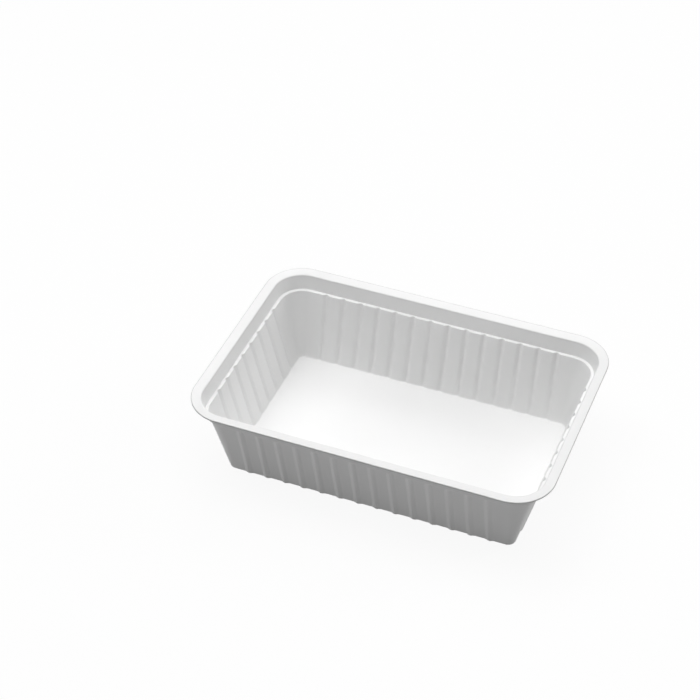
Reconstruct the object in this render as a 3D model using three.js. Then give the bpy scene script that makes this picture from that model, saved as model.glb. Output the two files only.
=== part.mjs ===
// A thermoformed food tray: one thin plastic skin drawn from a flat sheet.
// The section of the sheet runs from a flange that rises a little towards its rim, down a plain
// recess for the lid, over a narrow ledge and down a drafted wall to the floor. The long and short
// walls carry upright round flutes, pressed outwards, that stiffen them.
// Millimetres, +Z up, origin at the middle of the underside.
import * as THREE from "three";

// Overall sizes
const trayLength = 190;
const trayWidth = 131;
const trayHeight = 48;

// Sheet
const flangeThickness = 0.8;
const wallThickness = 0.6;

// Flange and lid recess
const flangeWidth = 5.25;
const flangeRise = 0.7;
const flangeCornerRadius = 20.7;
const recessDepth = 8.3;
const recessDraftAngle = 11.2;
const ledgeWidth = 1.65;

// Drafted wall and floor
const wallDraftAngle = 14.2;
const floorCornerRadius = 3.6;
const smallestPlanRadius = 0.5;

// Rounded edges of the section, measured on the food side
const flangeEdgeRadius = 0.8;
const ledgeRootRadius = 0.3;
const ledgeEdgeRadius = 0.35;
const floorEdgeRadius = 0.8;
const smallestEdgeRadius = 0.05;

// Flutes
const flutePitch = 10;
const fluteWidth = 3.6;
const fluteDepth = 0.8;
const fluteEndClearance = 6;

// Facets
const cornerSteps = 9;
const fluteSteps = 6;
const roundSteps = 2;

const quarterTurn = Math.PI / 2;

// The food side of the sheet as a section: how far in from the flange's outer edge, and how high.
function foodSideCorners() {
  const recessTaper = recessDepth * Math.tan(THREE.MathUtils.degToRad(recessDraftAngle));
  const flangeEdgeHeight = trayHeight - flangeRise;
  const ledgeHeight = flangeEdgeHeight - recessDepth;
  const wallDrop = ledgeHeight - wallThickness;
  const wallTaper = wallDrop * Math.tan(THREE.MathUtils.degToRad(wallDraftAngle));
  const ledgeRoot = flangeWidth + recessTaper;
  const ledgeEdge = ledgeRoot + ledgeWidth;
  const floorEdge = ledgeEdge + wallTaper;
  return {
    flangeRim: new THREE.Vector2(0, trayHeight),
    flangeEdge: new THREE.Vector2(flangeWidth, flangeEdgeHeight),
    ledgeRoot: new THREE.Vector2(ledgeRoot, ledgeHeight),
    ledgeEdge: new THREE.Vector2(ledgeEdge, ledgeHeight),
    floorEdge: new THREE.Vector2(floorEdge, wallThickness),
    floorMiddle: new THREE.Vector2(trayWidth / 2, wallThickness),
  };
}

const food = foodSideCorners();

// Where two lines cross, each given by a point and a direction.
function crossing(pointA, directionA, pointB, directionB) {
  const along = pointB.clone().sub(pointA).cross(directionB) / directionA.cross(directionB);
  return pointA.clone().addScaledVector(directionA, along);
}

// The outer side of the sheet: each line of the food side is moved out by its own thickness,
// and neighbouring lines are met again. The rim is cut upright.
function outerSideCorners() {
  const corners = Object.values(food);
  const thicknesses = [
    flangeThickness, // flange
    wallThickness, // recess
    wallThickness, // ledge
    wallThickness, // drafted wall
    wallThickness, // floor
  ];
  const lines = thicknesses.map((thickness, i) => {
    const direction = corners[i + 1].clone().sub(corners[i]).normalize();
    const outwards = new THREE.Vector2(direction.y, -direction.x);
    return { point: corners[i].clone().addScaledVector(outwards, thickness), direction };
  });
  const meet = (i) =>
    crossing(lines[i].point, lines[i].direction, lines[i + 1].point, lines[i + 1].direction);
  const upright = new THREE.Vector2(0, 1);
  return {
    flangeRim: crossing(lines[0].point, lines[0].direction, food.flangeRim, upright),
    flangeEdge: meet(0),
    ledgeRoot: meet(1),
    ledgeEdge: meet(2),
    floorEdge: meet(3),
    floorMiddle: new THREE.Vector2(trayWidth / 2, 0),
  };
}

const outer = outerSideCorners();

// A rounded corner of the section: points on the arc that touches both of its lines.
function roundedCorner(before, corner, after, radius) {
  const toBefore = before.clone().sub(corner);
  const toAfter = after.clone().sub(corner);
  const halfAngle = toBefore.angleTo(toAfter) / 2;
  const room = Math.min(toBefore.length(), toAfter.length()) / 2;
  const reach = Math.min(Math.max(radius, smallestEdgeRadius) / Math.tan(halfAngle), room);
  const centre = toBefore
    .clone()
    .normalize()
    .add(toAfter.clone().normalize())
    .setLength(reach / Math.cos(halfAngle))
    .add(corner);
  const first = corner.clone().addScaledVector(toBefore.normalize(), reach).sub(centre);
  const last = corner.clone().addScaledVector(toAfter.normalize(), reach).sub(centre);
  const sweep = Math.atan2(first.cross(last), first.dot(last));
  const arc = [];
  for (let step = 0; step <= roundSteps; step += 1) {
    const turned = first.clone().rotateAround(new THREE.Vector2(), (sweep * step) / roundSteps);
    arc.push(turned.add(centre));
  }
  return arc;
}

// The corner radius in plan shrinks with the distance in from the flange's rim: evenly down to
// the ledge, then faster down the drafted wall to the tight corner at the floor.
function planRadius(inset) {
  const ledgeRadius = flangeCornerRadius - food.ledgeEdge.x;
  const share = (inset - food.ledgeEdge.x) / (food.floorEdge.x - food.ledgeEdge.x);
  const radius =
    share <= 0
      ? flangeCornerRadius - inset
      : THREE.MathUtils.lerp(ledgeRadius, floorCornerRadius, share);
  return Math.max(radius, smallestPlanRadius);
}

// How many flutes stand on a side, keeping clear of both corners at the top and at the floor.
function fluteCount(halfSide) {
  const straightAtLedge = halfSide - food.ledgeEdge.x - planRadius(food.ledgeEdge.x);
  const straightAtFloor = halfSide - food.floorEdge.x - planRadius(food.floorEdge.x);
  const run = 2 * (Math.min(straightAtLedge, straightAtFloor) - fluteEndClearance);
  return run < 0 ? 0 : 1 + Math.floor(run / flutePitch);
}

const flutesAcross = fluteCount(trayWidth / 2);
const flutesAlong = fluteCount(trayLength / 2);

// One closed outline at a station of the section, anticlockwise seen from above: a rectangle with
// round corners, whose sides bulge out at each flute where the station is on the drafted wall.
function outline({ inset, height, flute }) {
  const radius = planRadius(inset);
  const points = [];
  for (let side = 0; side < 4; side += 1) {
    const onEnd = side % 2 === 0;
    const reach = (onEnd ? trayLength : trayWidth) / 2 - inset;
    const straight = (onEnd ? trayWidth : trayLength) / 2 - inset - radius;
    const place = (out, along) => {
      const turned = new THREE.Vector2(out, along).rotateAround(
        new THREE.Vector2(),
        side * quarterTurn,
      );
      points.push(new THREE.Vector3(turned.x, turned.y, height));
    };
    place(reach, -straight);
    const flutes = flute ? (onEnd ? flutesAcross : flutesAlong) : 0;
    for (let i = 0; i < flutes; i += 1) {
      const middle = (i - (flutes - 1) / 2) * flutePitch;
      for (let step = 0; step <= fluteSteps; step += 1) {
        const across = (2 * step) / fluteSteps - 1;
        const bulge = fluteDepth * Math.cos(across * quarterTurn) ** 2;
        place(reach + bulge, middle + (across * flute.width) / 2);
      }
    }
    place(reach, straight);
    for (let step = 1; step < cornerSteps; step += 1) {
      const angle = (step / cornerSteps) * quarterTurn;
      place(reach - radius + radius * Math.cos(angle), straight + radius * Math.sin(angle));
    }
  }
  return points;
}

// The stations of the whole skin in one run: from the underside of the floor up the outer side to
// the flange, round its rim and down the food side to the top of the floor.
function stations() {
  const foodFlute = { width: fluteWidth };
  const outerFlute = { width: fluteWidth + wallThickness };
  const plain = (point) => ({ inset: point.x, height: point.y, flute: null });
  const fluted = (flute) => (point) => ({ inset: point.x, height: point.y, flute });
  const rounded = (side, name, radius) => {
    const order = Object.keys(side);
    const at = order.indexOf(name);
    return roundedCorner(side[order[at - 1]], side[name], side[order[at + 1]], radius);
  };
  const outerRounded = (name, radius) => rounded(outer, name, radius).reverse();
  return [
    ...outerRounded("floorEdge", floorEdgeRadius + wallThickness).map(fluted(outerFlute)),
    fluted(outerFlute)(outer.ledgeEdge),
    plain(outer.ledgeRoot),
    ...outerRounded("flangeEdge", flangeEdgeRadius - wallThickness).map(plain),
    plain(outer.flangeRim),
    plain(food.flangeRim),
    ...rounded(food, "flangeEdge", flangeEdgeRadius).map(plain),
    ...rounded(food, "ledgeRoot", ledgeRootRadius).map(plain),
    ...rounded(food, "ledgeEdge", ledgeEdgeRadius).map(fluted(foodFlute)),
    ...rounded(food, "floorEdge", floorEdgeRadius).map(fluted(foodFlute)),
  ];
}

// Triangles of a strip between two outlines with as many points.
function strip(lower, upper) {
  return lower.flatMap((point, i) => {
    const next = (i + 1) % lower.length;
    return [point, lower[next], upper[next], point, upper[next], upper[i]];
  });
}

// Triangles of a level face inside one outline and outside another, facing up or down.
function levelFace(contour, hole, facesUp) {
  const corners = [...contour, ...hole];
  const flat = (points) => points.map((point) => new THREE.Vector2(point.x, point.y));
  const faces = THREE.ShapeUtils.triangulateShape(flat(contour), hole.length ? [flat(hole)] : []);
  return faces.flatMap(([a, b, c]) => {
    const triangle = [corners[a], corners[b], corners[c]];
    const [first, second, third] = triangle;
    const turn = second.clone().sub(first).cross(third.clone().sub(first)).z;
    return turn > 0 === facesUp ? triangle : triangle.reverse();
  });
}

// The skin: each pair of neighbouring outlines is joined, and the two floors are filled in.
function traySkin() {
  const run = stations();
  const outlines = run.map(outline);
  const triangles = levelFace(outlines[0], [], false);
  for (let i = 1; i < run.length; i += 1) {
    const alike = outlines[i].length === outlines[i - 1].length;
    if (alike) {
      triangles.push(...strip(outlines[i - 1], outlines[i]));
    } else {
      const goesOut = run[i].inset < run[i - 1].inset;
      const [wide, narrow] = goesOut
        ? [outlines[i], outlines[i - 1]]
        : [outlines[i - 1], outlines[i]];
      triangles.push(...levelFace(wide, narrow, !goesOut));
    }
  }
  triangles.push(...levelFace(outlines.at(-1), [], true));
  const geometry = new THREE.BufferGeometry().setFromPoints(triangles);
  geometry.computeVertexNormals();
  return geometry;
}

const whitePlastic = new THREE.MeshStandardMaterial({
  name: "white_plastic",
  color: 0xf2f2f1,
  roughness: 0.42,
  metalness: 0,
});

const tray = new THREE.Mesh(traySkin(), whitePlastic);
tray.name = "tray";

const part = new THREE.Group();
part.name = "food_tray";
part.add(tray);

export default part;
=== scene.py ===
# %% [markdown]
# # A drawn plastic food tray
# The real tray starts as a flat white polypropylene sheet. Heat softens it, and a vacuum draws it
# into a mould, so the whole tray is one thin skin: flange, lid recess, ledge, fluted wall, floor.
# The solid model already holds that skin with few facets. Here it is worked out again as one
# fine surface with true round edges, in the same place and at the same size. Only the flutes
# differ a little: as on the real tray, they are wider and deeper inside, grow shallower there
# just above the floor, and are softer outside.

# %% Load the solid model as a fixed frame
import math

import bmesh
import bpy
import numpy as np
from mathutils import Matrix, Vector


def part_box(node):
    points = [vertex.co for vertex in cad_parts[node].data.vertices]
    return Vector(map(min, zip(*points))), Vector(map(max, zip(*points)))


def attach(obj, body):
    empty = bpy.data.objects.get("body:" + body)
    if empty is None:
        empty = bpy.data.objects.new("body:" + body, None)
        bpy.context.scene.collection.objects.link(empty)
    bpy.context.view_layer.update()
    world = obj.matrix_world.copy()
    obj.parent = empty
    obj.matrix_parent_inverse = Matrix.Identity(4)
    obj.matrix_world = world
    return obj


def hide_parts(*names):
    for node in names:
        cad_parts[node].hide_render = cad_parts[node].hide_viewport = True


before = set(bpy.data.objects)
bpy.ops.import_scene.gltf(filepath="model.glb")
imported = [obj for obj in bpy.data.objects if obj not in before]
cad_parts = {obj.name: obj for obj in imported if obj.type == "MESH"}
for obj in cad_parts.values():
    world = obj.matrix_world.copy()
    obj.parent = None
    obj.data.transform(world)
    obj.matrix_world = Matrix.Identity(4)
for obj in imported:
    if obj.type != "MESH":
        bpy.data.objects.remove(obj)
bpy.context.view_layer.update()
tray_low, tray_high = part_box("tray")
tray_length, tray_width, tray_height = tray_high - tray_low
print("solid tray in mm:", [round(1000 * size, 2) for size in (tray_high - tray_low)])

# %% [markdown]
# ## The camera
# A product photographer stands well back with a long lens, so the far edge of the tray is hardly
# smaller than the near one. The place is given as a turn round the tray, a height above the
# horizon and a distance from a point in the plane of the flange. The lens follows from how many
# pixels of the 700 pixel frame an object one unit wide fills at one unit's distance.

# %% Set up the camera
frame_pixels = 700
sensor_width = 0.036
camera_turn = math.radians(21.618)
camera_rise = math.radians(40.429)
camera_tilt = math.radians(0.122)
camera_distance = 0.9669
aim_point = np.array([-0.0327, 0.01054, 0.0473])
focal_pixels = 1872.25

backwards = np.array(
    [
        math.sin(camera_turn) * math.cos(camera_rise),
        -math.cos(camera_turn) * math.cos(camera_rise),
        math.sin(camera_rise),
    ]
)
camera = bpy.data.objects.new("camera", bpy.data.cameras.new("camera"))
bpy.context.scene.collection.objects.link(camera)
camera.location = aim_point + backwards * camera_distance
turn = Matrix.Rotation(camera_turn, 3, "Z") @ Matrix.Rotation(math.pi / 2 - camera_rise, 3, "X")
camera.rotation_euler = (turn @ Matrix.Rotation(camera_tilt, 3, "Z")).to_euler()
camera.data.sensor_width = 1000 * sensor_width
camera.data.lens = 1000 * sensor_width * focal_pixels / frame_pixels
camera.data.clip_start = 0.01
camera.data.clip_end = 100
bpy.context.scene.camera = camera
print("lens in mm:", round(camera.data.lens, 1))

# %% [markdown]
# ## The section of the sheet
# Cut the tray across its wall and the sheet shows as one bent line of even thickness. It is drawn
# here as a few corner points, each given by how far it lies in from the flange's rim and by its
# height. The outer side is the same line moved out by the sheet's thickness. Every corner is then
# rounded, because heated sheet never follows a mould into a sharp edge.

# %% Sizes of the section
flange_thickness = 0.0008
wall_thickness = 0.0006
flange_width = 0.00525
flange_rise = 0.0007
flange_corner_radius = 0.0207
recess_depth = 0.0083
recess_draft = math.radians(11.2)
ledge_width = 0.00165
wall_draft = math.radians(14.2)
floor_corner_radius = 0.0036

# The places of the corner points in their run, counted from the rim
at_rim, at_flange_edge, at_ledge_root, at_ledge_edge, at_floor_edge = range(5)


# %% Corner points of both sides
def food_side():
    """Corners of the food side as (distance in from the rim, height), from rim to mid floor."""
    flange_low = tray_height - flange_rise
    recess_floor = flange_low - recess_depth
    ledge_root = flange_width + recess_depth * math.tan(recess_draft)
    ledge_edge = ledge_root + ledge_width
    floor_edge = ledge_edge + (recess_floor - wall_thickness) * math.tan(wall_draft)
    return np.array(
        [
            (0, tray_height),
            (flange_width, flange_low),
            (ledge_root, recess_floor),
            (ledge_edge, recess_floor),
            (floor_edge, wall_thickness),
            (tray_width / 2, wall_thickness),
        ]
    )


def cross(a, b):
    """The signed area between two directions in the section's plane."""
    return a[..., 0] * b[..., 1] - a[..., 1] * b[..., 0]


def moved_out(corners, thicknesses):
    """Each line between corners is moved out by its thickness, and neighbours are met again.

    The rim itself is cut upright, so its lower corner lies straight below its upper one.
    """
    steps = np.diff(corners, axis=0)
    directions = steps / np.linalg.norm(steps, axis=1)[:, None]
    outwards = np.stack([directions[:, 1], -directions[:, 0]], axis=1)
    starts = corners[:-1] + outwards * np.array(thicknesses)[:, None]
    reach = cross(starts[1:] - starts[:-1], directions[1:]) / cross(directions[:-1], directions[1:])
    meets = starts[:-1] + directions[:-1] * reach[:, None]
    rim = starts[0] - directions[0] * starts[0, 0] / directions[0, 0]
    last = corners[-1] + outwards[-1] * thicknesses[-1]
    return np.vstack([rim, meets, last])


food_corners = food_side()
outer_corners = moved_out(food_corners, [flange_thickness] + [wall_thickness] * 4)
print("food side corners in mm:", np.round(1000 * food_corners, 2).tolist())

# %% Sizes of the rounds
rim_round = 0.00025
flange_edge_round = 0.0008
ledge_root_round = 0.0003
ledge_edge_round = 0.00035
floor_edge_round = 0.0008

rim_facets = 4
food_facets = {at_flange_edge: 10, at_ledge_root: 5, at_ledge_edge: 6, at_floor_edge: 12}
outer_facets = {at_flange_edge: 4, at_ledge_root: 6, at_ledge_edge: 4, at_floor_edge: 10}

most_of_straight = 0.45
support_gap = 0.00012


# %% Round a corner of the section
def rounded(before, corner, after, radius, facets):
    """Points of the arc that touches both lines at the corner, with one more on each straight.

    The arc starts and ends where a circle of that radius touches the lines, at radius divided by
    the tangent of half the angle between them, or at less where a straight is too short. The
    point on each straight, just past the arc, keeps the smooth shading of the flat beside it flat.
    """
    back, ahead = before - corner, after - corner
    back_length, ahead_length = np.linalg.norm(back), np.linalg.norm(ahead)
    back, ahead = back / back_length, ahead / ahead_length
    half_angle = math.acos(np.clip(back @ ahead, -1, 1)) / 2
    room = most_of_straight * min(back_length, ahead_length)
    reach = min(radius / math.tan(half_angle), room)
    bisector = (back + ahead) / np.linalg.norm(back + ahead)
    centre = corner + bisector * reach / math.cos(half_angle)
    first, last = corner + back * reach - centre, corner + ahead * reach - centre
    sweep = math.atan2(cross(first, last), first @ last)
    turns = np.linspace(0, sweep, facets + 1)
    arc = centre + np.stack(
        [
            first[0] * np.cos(turns) - first[1] * np.sin(turns),
            first[0] * np.sin(turns) + first[1] * np.cos(turns),
        ],
        axis=1,
    )
    return np.vstack([arc[0] + back * support_gap, arc, arc[-1] + ahead * support_gap])


# %% [markdown]
# ## The outline at a height
# Seen from above, the tray is a rectangle with round corners. The upright flutes are shallow
# bulges of its straight sides, pressed outwards. A squared cosine gives each one a round crown
# that melts into the flat wall with no crease, as drawn sheet does. The grooves are deeper on the
# food side than the ribs stand out on the other side, because the sheet evens them out, so the
# two sides have depths of their own. Each outline has the same columns in the same order, so the
# outlines stack up into one grid.

# %% Sizes of the outline
flute_pitch = 0.010
flute_width = 0.0044
flute_depth = 0.00095
outer_flute_depth = 0.0007
flutes_along = 14
flutes_across = 8
smallest_plan_radius = 0.0005

flute_columns = 17
corner_columns = 25
print("flutes round the tray:", 2 * (flutes_along + flutes_across))


# %% Radius in plan
def plan_radius(inset):
    """The corner radius in plan: less by each step inwards, then evenly down to the floor's."""
    ledge_inset, floor_inset = food_corners[at_ledge_edge, 0], food_corners[at_floor_edge, 0]
    ledge_radius = flange_corner_radius - ledge_inset
    share = (inset - ledge_inset) / (floor_inset - ledge_inset)
    on_wall = ledge_radius + share * (floor_corner_radius - ledge_radius)
    radius = np.where(share <= 0, flange_corner_radius - inset, on_wall)
    return np.maximum(radius, smallest_plan_radius)


# %% One outline for every station at once
def fluted_side(reach, flutes, depth, width):
    """Points (out, along) of one side, as two arrays of stations by columns.

    A point at distance a from a flute's middle bulges out by depth times the squared cosine of
    a quarter turn times a over half the flute's width.
    """
    across = np.linspace(-1, 1, flute_columns)
    middles = (np.arange(flutes) - (flutes - 1) / 2) * flute_pitch
    along = middles[None, :, None] + across[None, None, :] * width[:, None, None] / 2
    bulge = depth[:, None, None] * np.cos(across * math.pi / 2) ** 2
    out = reach[:, None, None] + np.broadcast_to(bulge, along.shape)
    return out.reshape(len(reach), -1), along.reshape(len(reach), -1)


def outlines(inset, depth, width):
    """Outlines (stations, columns, 2) in plan, anticlockwise seen from above.

    Each of the four sides is followed by a quarter circle of the corner's radius.
    """
    radius = plan_radius(inset)
    angles = np.linspace(0, math.pi / 2, corner_columns)
    parts = []
    for side in range(4):
        on_end = side % 2 == 0
        reach = (tray_length if on_end else tray_width) / 2 - inset
        straight = (tray_width if on_end else tray_length) / 2 - inset - radius
        flutes = flutes_across if on_end else flutes_along
        out, along = fluted_side(reach, flutes, depth, width)
        corner_out = (reach - radius)[:, None] + radius[:, None] * np.cos(angles)
        corner_along = straight[:, None] + radius[:, None] * np.sin(angles)
        out = np.hstack([out, corner_out])
        along = np.hstack([along, corner_along])
        turn = side * math.pi / 2
        x = out * math.cos(turn) - along * math.sin(turn)
        y = out * math.sin(turn) + along * math.cos(turn)
        parts.append(np.stack([x, y], axis=2))
    return np.concatenate(parts, axis=1)


# %% [markdown]
# ## The foot of the grooves
# On the food side each groove grows shallower just above the floor, where the soft sheet bridged
# it, so the floor's edge is almost straight. The ribs outside keep their depth down to the bend.

# %% Sizes at the foot of the grooves
flute_end_share = 0.45
flute_fade_height = 0.004
foot_rows = 5
lowest_foot_row = 0.0019


# %% Let the grooves run out
def food_flute_depth(height):
    """The depth of a groove: full on the wall, and eased down to a share of it at the floor.

    The easing is three times the square less twice the cube of the part of the way up.
    """
    up = np.clip((height - wall_thickness) / flute_fade_height, 0, 1)
    eased = 3 * up**2 - 2 * up**3
    return flute_depth * (flute_end_share + (1 - flute_end_share) * eased)


def foot_of_wall():
    """Points of the food side's wall where the grooves run out, from the top down."""
    heights = np.linspace(wall_thickness + flute_fade_height, lowest_foot_row, foot_rows)
    top, foot = food_corners[at_ledge_edge], food_corners[at_floor_edge]
    return foot + (top - foot) * ((heights - foot[1]) / (top[1] - foot[1]))[:, None]


# %% [markdown]
# ## The stations of the skin
# The stations of the section run once round the sheet: from the middle of the underside up the
# outer side, round the flange's rim and down the food side to the middle of the floor. Each
# station is one row of the grid, and each column runs once round the sheet's section.


# %% Stations of the section
def with_flute(line, depth, width):
    """Rows (inset, height, flute depth, flute width) from the points of a line."""
    depths = np.broadcast_to(depth, len(line))
    return np.column_stack([line, depths, np.full(len(line), width)])


def outer_corner(at, radius, fluted):
    """Rows of a rounded corner of the outer side, on the way up."""
    arc = rounded(*outer_corners[at - 1 : at + 2], radius, outer_facets[at])
    depth = outer_flute_depth if fluted else 0
    return with_flute(arc, depth, flute_width + wall_thickness)[::-1]


def food_corner(at, radius, fluted):
    """Rows of a rounded corner of the food side, on the way down."""
    arc = rounded(*food_corners[at - 1 : at + 2], radius, food_facets[at])
    return with_flute(arc, food_flute_depth(arc[:, 1]) if fluted else 0, flute_width)


def rim():
    """Rows round the flange's cut edge, from its lower corner to its upper one."""
    low, high = outer_corners[at_rim], food_corners[at_rim]
    lower = rounded(outer_corners[at_flange_edge], low, high, rim_round, rim_facets)
    upper = rounded(low, high, food_corners[at_flange_edge], rim_round, rim_facets)
    return with_flute(np.vstack([lower, upper]), 0, flute_width)


def stations():
    """Rows of the whole skin, in order."""
    foot = foot_of_wall()
    return np.vstack(
        [
            outer_corner(at_floor_edge, floor_edge_round + wall_thickness, True),
            outer_corner(at_ledge_edge, ledge_edge_round, True),
            outer_corner(at_ledge_root, ledge_root_round + wall_thickness, False),
            outer_corner(at_flange_edge, flange_edge_round - wall_thickness, False),
            rim(),
            food_corner(at_flange_edge, flange_edge_round, False),
            food_corner(at_ledge_root, ledge_root_round, False),
            food_corner(at_ledge_edge, ledge_edge_round, True),
            with_flute(foot, food_flute_depth(foot[:, 1]), flute_width),
            food_corner(at_floor_edge, floor_edge_round, True),
        ]
    )


# %% [markdown]
# ## Where drawing thins the sheet, and its painted light
# The sheet chills where it first meets the mould, so the flange and the ledge stay thick. It thins
# most where it is drawn last: at the feet of the corners and along the flutes. There some light
# passes through, and that light is painted into the tone: painted shade on the food side and
# painted light on the outer side. Level faces get painted light too, most on the ledge and less on
# the floor, and steep faces get painted shade. The skin itself is thinner only along the flutes, so
# each point carries two numbers that the material reads.

# %% Sizes of the painted light through thinned places and on level faces
foot_reach = 0.009
foot_height = 0.012
flute_share = 0.8
floor_fade = 0.003
ledge_light_band = 0.00025
ledge_extra_light = 0.7
floor_light_share = 0.7


# %% Work out how far each point was drawn, and its painted light
def flute_crests():
    """For each column, 1 in the middle of a flute and 0 at its edges and in the corners."""
    crest = np.cos(np.linspace(-1, 1, flute_columns) * math.pi / 2) ** 4
    plain = np.zeros(corner_columns)
    counts = (flutes_across, flutes_along) * 2
    return np.concatenate([part for count in counts for part in (np.tile(crest, count), plain)])


def thin_sheet_light_at(points, height, fluted, inside):
    """How far the sheet was thinned at each point, as painted light through it: above 0 inside,
    where it is painted shade, and below 0 outside, where it is painted light.

    It is 1 at the feet of the four corners and falls off as a bell curve with the distance from
    them and with the height. It is a fixed share along each flute, and fades to none at the floor.
    """
    foot_corner = np.array([tray_length, tray_width]) / 2 - food_corners[at_floor_edge, 0]
    away = np.linalg.norm(np.abs(points[..., :2]) - foot_corner, axis=-1)
    foot = np.exp(-((away / foot_reach) ** 2) - ((height / foot_height) ** 2)[:, None])
    flute = flute_share * flute_crests() * fluted[:, None]
    above_floor = np.clip((height - wall_thickness) / floor_fade, 0, 1)[:, None]
    # Painted shade inside and painted light outside, at the corner feet and on the flute crests
    return np.maximum(foot, flute) * above_floor * np.where(inside, 1, -1)[:, None]


def level_light_at(inset, height):
    """Painted light at each station: level faces are lit and steep ones get painted shade.

    It is 1 on the flange and less on the floor, most on the ledge, and little where it is steep.
    """
    # Painted light on level faces and painted shade on steep ones, less towards the floor
    across, up = np.abs(np.gradient(inset)), np.abs(np.gradient(height))
    level = across / (across + up)
    gain = (1 - floor_light_share) * height / tray_height
    # A painted highlight along the ledge
    on_ledge = np.exp(-(((height - food_corners[at_ledge_edge, 1]) / ledge_light_band) ** 2))
    return level * (floor_light_share + gain) + ledge_extra_light * on_ledge


# %% [markdown]
# ## One closed mesh
# Neighbouring rows of the grid are joined by quads, and the last column is joined to the first.
# The two floors are closed by pulling their last outline in to the tray's long middle line.
# There its points lie on each other in pairs, and welding those closes the skin.

# %% Sizes of the joins
closing_shares = (0.5, 1)
weld_distance = 1e-6


# %% Join the grid into one mesh
def pulled_in(ring):
    """Copies of a ring pulled towards the tray's long middle line by each closing share."""
    spine = (tray_length - tray_width) / 2
    target = np.stack([np.clip(ring[:, 0], -spine, spine), np.zeros(len(ring))], axis=1)
    return [ring + (target - ring) * share for share in closing_shares]


def quads_between(row_count, column_count):
    """The four point numbers of each quad."""
    first = np.arange(row_count - 1)[:, None] * column_count
    here = first + np.arange(column_count)
    beside = first + (np.arange(column_count) + 1) % column_count
    return np.stack([here, beside, beside + column_count, here + column_count], axis=2)


def note(mesh, name, values):
    """Stores one number for each point of the mesh under a name."""
    mesh.attributes.new(name, "FLOAT", "POINT").data.foreach_set("value", values.ravel())


def skin_mesh(name):
    """The skin as a mesh, with its notes of painted light through thinned sheet and on level faces.
    """
    inset, height, depth, width = stations().T
    plan = outlines(inset, depth, width)
    plan = np.concatenate([pulled_in(plan[0])[::-1], plan, pulled_in(plan[-1])])
    row_count, column_count = plan.shape[:2]
    ends = np.ones(len(closing_shares))
    inwards = tray_width / 2 * np.array(closing_shares)
    inset = np.concatenate([inwards[::-1], inset, inwards])
    height = np.concatenate([height[0] * ends, height, height[-1] * ends])
    fluted = np.concatenate([0 * ends, depth > 0, 0 * ends])
    inside = np.arange(row_count) > height.argmax()
    points = np.dstack([plan, np.broadcast_to(height[:, None], plan.shape[:2])])
    quads = quads_between(row_count, column_count)
    mesh = bpy.data.meshes.new(name)
    mesh.from_pydata(points.reshape(-1, 3), [], quads.reshape(-1, 4).tolist())
    level_light = level_light_at(inset, height)
    note(mesh, "thin_sheet_light", thin_sheet_light_at(points, height, fluted, inside))
    note(mesh, "level_light", np.broadcast_to(level_light[:, None], plan.shape[:2]))
    return mesh, row_count, column_count


# %% Weld the skin and measure it
def weld(mesh):
    """Welds points that lie on each other, which closes both floors, and drops empty faces."""
    work = bmesh.new()
    work.from_mesh(mesh)
    bmesh.ops.remove_doubles(work, verts=work.verts, dist=weld_distance)
    bmesh.ops.dissolve_degenerate(work, edges=work.edges, dist=weld_distance)
    bmesh.ops.recalc_face_normals(work, faces=work.faces)
    open_edges = sum(1 for edge in work.edges if len(edge.link_faces) != 2)
    volume = work.calc_volume(signed=True)
    work.to_mesh(mesh)
    work.free()
    return open_edges, volume


tray_mesh, rows_made, columns_made = skin_mesh("tray_skin")
open_edges, skin_volume = weld(tray_mesh)
tray_mesh.shade_smooth()
tray_skin = bpy.data.objects.new("tray_skin", tray_mesh)
bpy.context.scene.collection.objects.link(tray_skin)
print("skin grid:", rows_made, "rows by", columns_made, "columns;", len(tray_mesh.polygons), "faces")
print("open edges:", open_edges, "volume in cm3:", round(1e6 * skin_volume, 2))

# %% [markdown]
# ## A small language for materials
# Node graphs are easier to read as sums. The first class wraps an output socket, so that adding
# or multiplying two of them adds the Math node that does it. The second makes the nodes.


# %% Sockets that can be added and multiplied
class Flow:
    """An output socket of a shader graph, with arithmetic that adds Math nodes."""

    def __init__(self, graph, socket):
        self.graph = graph
        self.socket = socket

    def math(self, operation, *values):
        return self.graph.node("ShaderNodeMath", {"operation": operation}, [self, *values])

    def __add__(self, other):
        return self.math("ADD", other)

    __radd__ = __add__

    def __mul__(self, other):
        return self.math("MULTIPLY", other)

    __rmul__ = __mul__

    def __sub__(self, other):
        return self.math("SUBTRACT", other)

    def __rsub__(self, other):
        return self.graph.node("ShaderNodeMath", {"operation": "SUBTRACT"}, [other, self])


# %% A graph that makes its nodes
class Graph:
    """The node tree of a material or a world."""

    def __init__(self, owner):
        owner.use_nodes = True
        self.tree = owner.node_tree
        self.tree.nodes.clear()

    def node(self, kind, settings, inputs, output=0):
        """Makes a node, sets its settings first, then fills its inputs by order or by name."""
        made = self.tree.nodes.new(kind)
        for name, value in settings.items():
            setattr(made, name, value)
        pairs = inputs.items() if isinstance(inputs, dict) else enumerate(inputs)
        for key, value in pairs:
            if isinstance(value, Flow):
                self.tree.links.new(value.socket, made.inputs[key])
            else:
                made.inputs[key].default_value = value
        return Flow(self, made.outputs[output]) if made.outputs else None

    def mixed_colour(self, factor, first, second):
        """The first colour where the factor is 0, and the second where it is 1."""
        inputs = {0: factor, 6: first, 7: second}
        return self.node("ShaderNodeMix", {"data_type": "RGBA"}, inputs, 2)

    def rise(self, value, start, end):
        """From 0 where the value is at the start to 1 where it is at the end."""
        inputs = {"Value": value, "From Min": start, "From Max": end}
        return self.node("ShaderNodeMapRange", {}, inputs)

    def rays(self):
        """Three flows that are 1 for light to the camera, to a reflection and through glass."""
        kinds = ("Is Camera Ray", "Is Glossy Ray", "Is Transmission Ray")
        return [self.node("ShaderNodeLightPath", {}, {}, kind) for kind in kinds]
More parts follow.
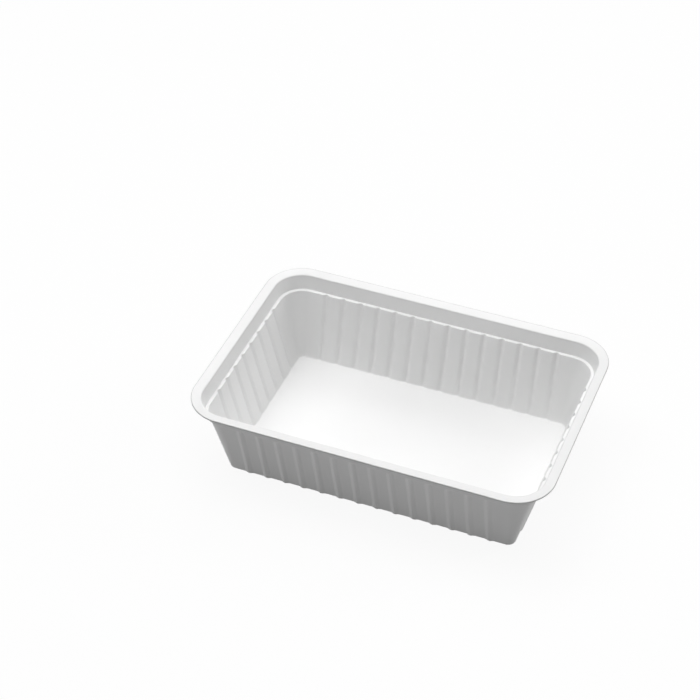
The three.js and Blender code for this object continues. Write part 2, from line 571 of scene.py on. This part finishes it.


# %% [markdown]
# ## White polypropylene sheet
# The sheet is white through and through, with a soft gloss. Up close it is not quite even: the
# chill roll leaves a very fine orange peel, and drawing stretches it, so the gloss wanders a
# little. The noise is read in Object coordinates, in metres, so its grain has a real size. The
# rim is where the tray was cut from its sheet, so a hair's breadth of it is rougher, and it gets a
# painted shade. The tone also carries painted light and shade on level faces, where the flange
# bends into the recess and where the sheet is thinned.

# %% Tones and sizes of the finish
darker_white = (0.880, 0.881, 0.880, 1)
lighter_white = (0.910, 0.910, 0.908, 1)
tone_cells_per_metre = 22
peel_cells_per_metre = 900
peel_strength = 0.04
peel_height = 0.0001
gloss_roughness = 0.27
roughness_change = 0.08
trim_roughness = 0.25

# Painted light and shade as shares of the tone: on level faces, on the cut rim, where the flange
# bends into the recess, and inside and outside where the sheet is thinned
even_shade = 0.965
level_light_gain = 0.06
rim_painted_shade = 0.32
bend_shade_loss = 0.09
inside_painted_shade = 0.045
outside_painted_light = 0.10

# Where the painted shade lies on the cut rim and where the flange bends into the recess
rough_shaded_rim_band = (0.0003, 0.00042)
bend_shade_band = (0.0047, 0.0053)
bend_shade_heights = (0.0460, 0.0468)


# %% Work out the painted light and shade of each place
def distance_from_rim(graph, place):
    """How far in from the rim a point lies, seen from above.

    It is the corner radius less the length of how far the point lies beyond the middles of the
    corner arcs along X and along Y.
    """

    def beyond(axis, size):
        part = graph.node("ShaderNodeSeparateXYZ", {}, {"Vector": place}, axis)
        past = part.math("ABSOLUTE") - (float(size / 2) - flange_corner_radius)
        return past.math("MAXIMUM", 0)

    across, along = beyond("X", tray_length), beyond("Y", tray_width)
    return flange_corner_radius - (across * across + along * along).math("SQRT")


def painted_light_and_rim(graph, place):
    """What the tone is scaled by, with its painted light and shade, and 1 on the cut rim.

    Painted light is higher on level faces, most on the ledge. Painted shade darkens the cut rim and
    the edge where the flange bends into the recess. Where the sheet is drawn thinner, painted shade
    darkens the food side and painted light lightens the outer side.
    """
    from_rim = distance_from_rim(graph, place)
    height = graph.node("ShaderNodeSeparateXYZ", {}, {"Vector": place}, "Z")
    # Painted shade where the flange bends into the recess
    bend_shade = graph.rise(from_rim, *bend_shade_band) * graph.rise(height, *bend_shade_heights)
    # The cut rim is rougher and gets a painted shade
    rough_shaded_rim = 1 - graph.rise(from_rim, *rough_shaded_rim_band)
    thin_sheet_light = graph.node("ShaderNodeAttribute", {"attribute_name": "thin_sheet_light"}, {}, "Fac")
    level_light = graph.node("ShaderNodeAttribute", {"attribute_name": "level_light"}, {}, "Fac")
    # Light through thinned sheet, painted: shade on the food side, light on the outer side
    inside, outside = thin_sheet_light.math("MAXIMUM", 0), thin_sheet_light.math("MINIMUM", 0)
    through_light_change = inside * inside_painted_shade + outside * outside_painted_light
    shade = even_shade + level_light * level_light_gain - rough_shaded_rim * rim_painted_shade - bend_shade * bend_shade_loss - through_light_change
    return shade, rough_shaded_rim


# %% Build the sheet's material
def white_sheet():
    """Satin white plastic: fine orange peel, a slow change of tone, a cut rim, painted light and
    shade.
    """
    material = bpy.data.materials.new("white_polypropylene_sheet")
    graph = Graph(material)
    place = graph.node("ShaderNodeTexCoord", {}, {}, "Object")

    def noise(cells_per_metre, detail):
        values = {"Vector": place, "Scale": cells_per_metre, "Detail": detail}
        return graph.node("ShaderNodeTexNoise", {}, values, "Fac")

    slow = noise(tone_cells_per_metre, 2)
    peel = noise(peel_cells_per_metre, 1)
    shade, rough_shaded_rim = painted_light_and_rim(graph, place)
    white = graph.mixed_colour(slow, darker_white, lighter_white)
    tone = graph.node("ShaderNodeVectorMath", {"operation": "SCALE"}, {0: white, "Scale": shade})
    bumps = {"Strength": peel_strength, "Distance": peel_height, "Height": peel}
    relief = graph.node("ShaderNodeBump", {}, bumps, "Normal")
    surface = graph.node(
        "ShaderNodeBsdfPrincipled",
        {},
        {
            "Base Color": tone,
            "Roughness": gloss_roughness + slow * roughness_change + rough_shaded_rim * trim_roughness,
            "IOR": 1.49,
            "Specular IOR Level": 0.5,
            "Normal": relief,
        },
        "BSDF",
    )
    graph.node("ShaderNodeOutputMaterial", {}, {"Surface": surface})
    print("sheet material:", len(graph.tree.nodes), "nodes")
    return material


tray_mesh.materials.append(white_sheet())
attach(tray_skin, "root")
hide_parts("tray")

# %% [markdown]
# ## Floor and backdrop
# The tray stands on a white sweep that melts into a white background. For the camera the floor
# is nearly pure white and keeps only a trace of shadow. Reflections in the tray see it as white
# too. For all other light it is a grey, so that it doesn't fill in the shaded outer walls.

# %% Sizes and tones of the floor
floor_reach = 6.0
floor_drop = 0.0002
glow_to_camera = 0.92
pure_white = (1, 1, 1, 1)
floor_grey = (0.28, 0.28, 0.28, 1)


# %% Lay the floor
def studio_floor():
    """A wide flat floor, white to the camera and to reflections, grey to other light."""
    signs = [(-1, -1), (1, -1), (1, 1), (-1, 1)]
    corners = [(floor_reach * x, floor_reach * y, 0) for x, y in signs]
    mesh = bpy.data.meshes.new("studio_floor")
    mesh.from_pydata(corners, [], [(0, 1, 2, 3)])
    floor = bpy.data.objects.new("studio_floor", mesh)
    bpy.context.scene.collection.objects.link(floor)
    floor.location.z = -floor_drop
    material = bpy.data.materials.new("studio_floor")
    graph = Graph(material)
    seen, mirrored, passed = graph.rays()
    tone = graph.mixed_colour(seen, floor_grey, pure_white)
    glow = graph.node("ShaderNodeEmission", {}, {"Color": pure_white, "Strength": 1.0})
    paper = graph.node("ShaderNodeBsdfDiffuse", {}, {"Color": tone})
    share = seen * glow_to_camera + mirrored + passed
    surface = graph.node("ShaderNodeMixShader", {}, {0: share, 1: paper, 2: glow})
    graph.node("ShaderNodeOutputMaterial", {}, {"Surface": surface})
    mesh.materials.append(material)
    print("floor in m:", [round(size, 1) for size in floor.dimensions])


studio_floor()

# %% [markdown]
# ## Light
# Most of the light falls from a large soft box overhead, so the flange and the floor of the tray
# are the brightest. Smaller boxes high on the left and behind pick out one flank of every flute,
# and one at the rear right lights the inside of the left wall. Two weak ones low in front and on
# the right keep the near wall from going dark. The world is white where it is seen or mirrored,
# and gives no other light.

# %% Places in metres, sizes in metres and powers in watts
boxes = [
    ("overhead_box", (0, 0, 1.6), 1.4, 15.1),
    ("rear_top_box", (-0.3, 0.95, 1.45), 0.7, 4.0),
    ("left_top_box", (-0.85, 0, 1.4), 0.7, 6.1),
    ("right_top_box", (0.85, 0, 1.4), 0.7, 0.8),
    ("rear_right_box", (1.2, 1.0, 0.8), 0.8, 7.2),
    ("front_low_box", (-0.3, -1.6, 0.12), 0.7, 4.2),
    ("right_low_box", (1.2, -1.0, 0.15), 0.7, 1.2),
]
middle = (0, 0, float(tray_height) / 2)


# %% Hang the lamps
def soft_box(name, place, aim, size, power):
    """A square area lamp at a place, turned to face a point."""
    lamp = bpy.data.objects.new(name, bpy.data.lights.new(name, "AREA"))
    lamp.data.size = size
    lamp.data.energy = power
    lamp.location = place
    direction = np.array(aim) - np.array(place)
    flat = math.hypot(direction[0], direction[1])
    lamp.rotation_euler = (
        math.atan2(flat, -direction[2]),
        0,
        math.atan2(direction[1], direction[0]) - math.pi / 2,
    )
    bpy.context.scene.collection.objects.link(lamp)


for name, place, size, power in boxes:
    soft_box(name, place, middle, size, power)
print("lamps:", len(boxes), "power in W:", round(sum(power for *_, power in boxes), 1))

# %% Whiten the air
world = bpy.data.worlds.new("studio_air")
bpy.context.scene.world = world
air = Graph(world)
seen, mirrored, passed = air.rays()
strength = seen + mirrored + passed
sky = air.node("ShaderNodeBackground", {}, {"Color": pure_white, "Strength": strength})
air.node("ShaderNodeOutputWorld", {}, {"Surface": sky})

# %% Colours are shown as written
bpy.context.scene.view_settings.view_transform = "Standard"
